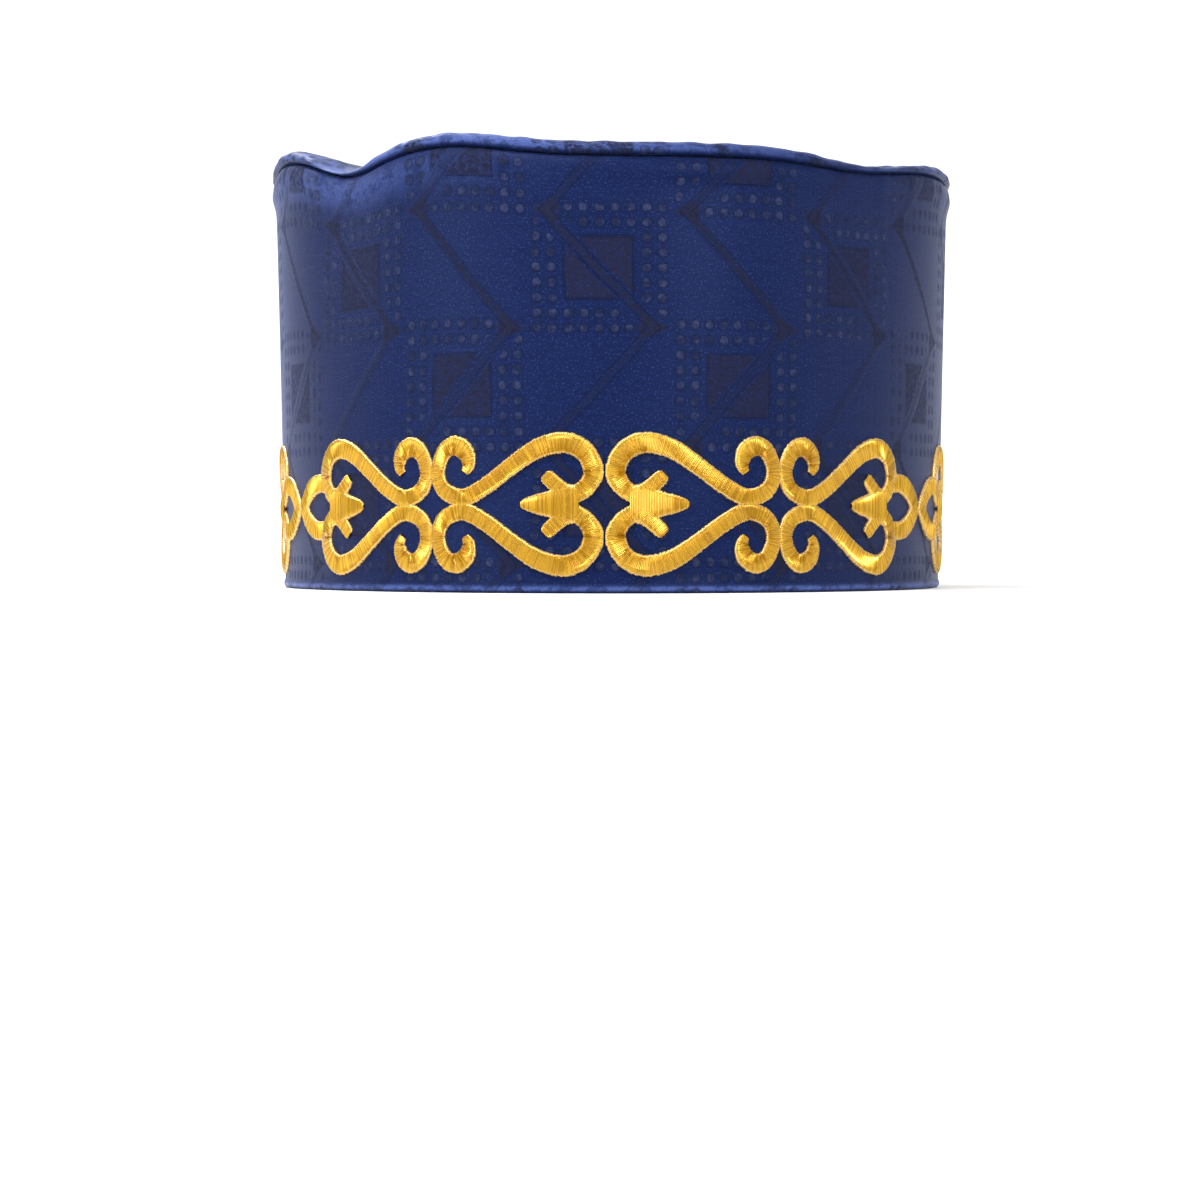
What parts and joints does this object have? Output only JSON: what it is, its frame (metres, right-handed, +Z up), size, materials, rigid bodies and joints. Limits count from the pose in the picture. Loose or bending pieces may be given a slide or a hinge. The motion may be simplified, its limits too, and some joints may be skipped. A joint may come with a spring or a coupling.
{
  "type": "prayer cap",
  "caption": "Flat-topped round prayer cap of dark blue patterned satin, with a raised golden scroll ornament around its lower wall and a dark lining.",
  "frame": {"origin": "middle of the rim's bounding box, on the surface that the cap stands on", "axes": "+Z up through the crown, -Y towards the front of the cap, +X to the right of someone who looks at its front"},
  "size_m": [0.1757, 0.1956, 0.1085],
  "materials": {
    "patterned_satin": "woven satin with a matt zigzag and triangle pattern",
    "dark_lining": "plain weave, nearly black",
    "gold_thread": "satin-stitch embroidery, glossy"
  },
  "bodies": {
    "root": {"side_wall": "patterned_satin", "crown_top": "patterned_satin", "lining": "dark_lining", "ornament_1": "gold_thread", "ornament_2": "gold_thread", "ornament_3": "gold_thread", "ornament_4": "gold_thread", "ornament_5": "gold_thread", "ornament_6": "gold_thread"}
  },
  "joints": []
}
